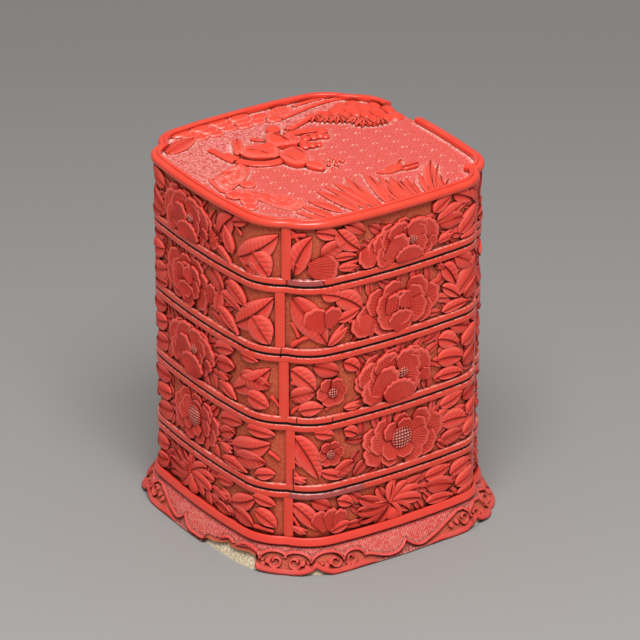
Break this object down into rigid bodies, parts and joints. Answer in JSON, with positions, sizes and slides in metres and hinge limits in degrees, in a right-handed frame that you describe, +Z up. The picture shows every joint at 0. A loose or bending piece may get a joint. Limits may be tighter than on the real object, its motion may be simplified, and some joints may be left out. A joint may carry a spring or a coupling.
{
  "type": "stacking box",
  "caption": "Tall rounded-square lacquer box of loose stacking trays with inner lips, a lift-off lid and a flared foot, carved with flowers.",
  "frame": {"origin": "middle of the footprint, on the surface the box stands on", "axes": "+Z up through the stack; the four sides face +X, -X, +Y and -Y; the deep corner notches lie on the +X+Y and -X-Y diagonal"},
  "size_m": [0.122, 0.122, 0.15],
  "materials": {
    "red_lacquer": "carved cinnabar-red lacquer, satin with a soft polish on the raised parts",
    "field_lacquer": "finely patterned red lacquer with pale dust in the cuts",
    "black_lacquer": "plain polished black lacquer",
    "composition_core": "coarse tan lacquer-and-ash composition, bare where the foot is chipped",
    "wood_core": "thin board under lacquer"
  },
  "bodies": {
    "base": {"foot_core": "composition_core", "foot_apron": "red_lacquer", "foot_ledge": "red_lacquer", "base_wall": "composition_core", "base_floor": "wood_core", "base_lining": "black_lacquer", "base_lip": "black_lacquer", "base_carving": "red_lacquer"},
    "lower_tray": {"lower_tray_wall": "composition_core", "lower_tray_floor": "wood_core", "lower_tray_lining": "black_lacquer", "lower_tray_lip": "black_lacquer", "lower_tray_carving": "red_lacquer"},
    "middle_tray": {"middle_tray_wall": "composition_core", "middle_tray_floor": "wood_core", "middle_tray_lining": "black_lacquer", "middle_tray_lip": "black_lacquer", "middle_tray_carving": "red_lacquer"},
    "upper_tray": {"upper_tray_wall": "composition_core", "upper_tray_floor": "wood_core", "upper_tray_lining": "black_lacquer", "upper_tray_lip": "black_lacquer", "upper_tray_carving": "red_lacquer"},
    "lid": {"lid_wall": "composition_core", "lid_board": "wood_core", "lid_lining": "black_lacquer", "lid_carving": "red_lacquer", "lid_field": "field_lacquer", "lid_rim": "red_lacquer"}
  },
  "joints": [
    {"name": "lower_tray_lift", "type": "slide", "parent": "base", "child": "lower_tray", "axis": [0, 0, 1], "range_m": [0, 0.06]},
    {"name": "middle_tray_lift", "type": "slide", "parent": "lower_tray", "child": "middle_tray", "axis": [0, 0, 1], "range_m": [0, 0.06]},
    {"name": "upper_tray_lift", "type": "slide", "parent": "middle_tray", "child": "upper_tray", "axis": [0, 0, 1], "range_m": [0, 0.06]},
    {"name": "lid_lift", "type": "slide", "parent": "upper_tray", "child": "lid", "axis": [0, 0, 1], "range_m": [0, 0.06]}
  ]
}
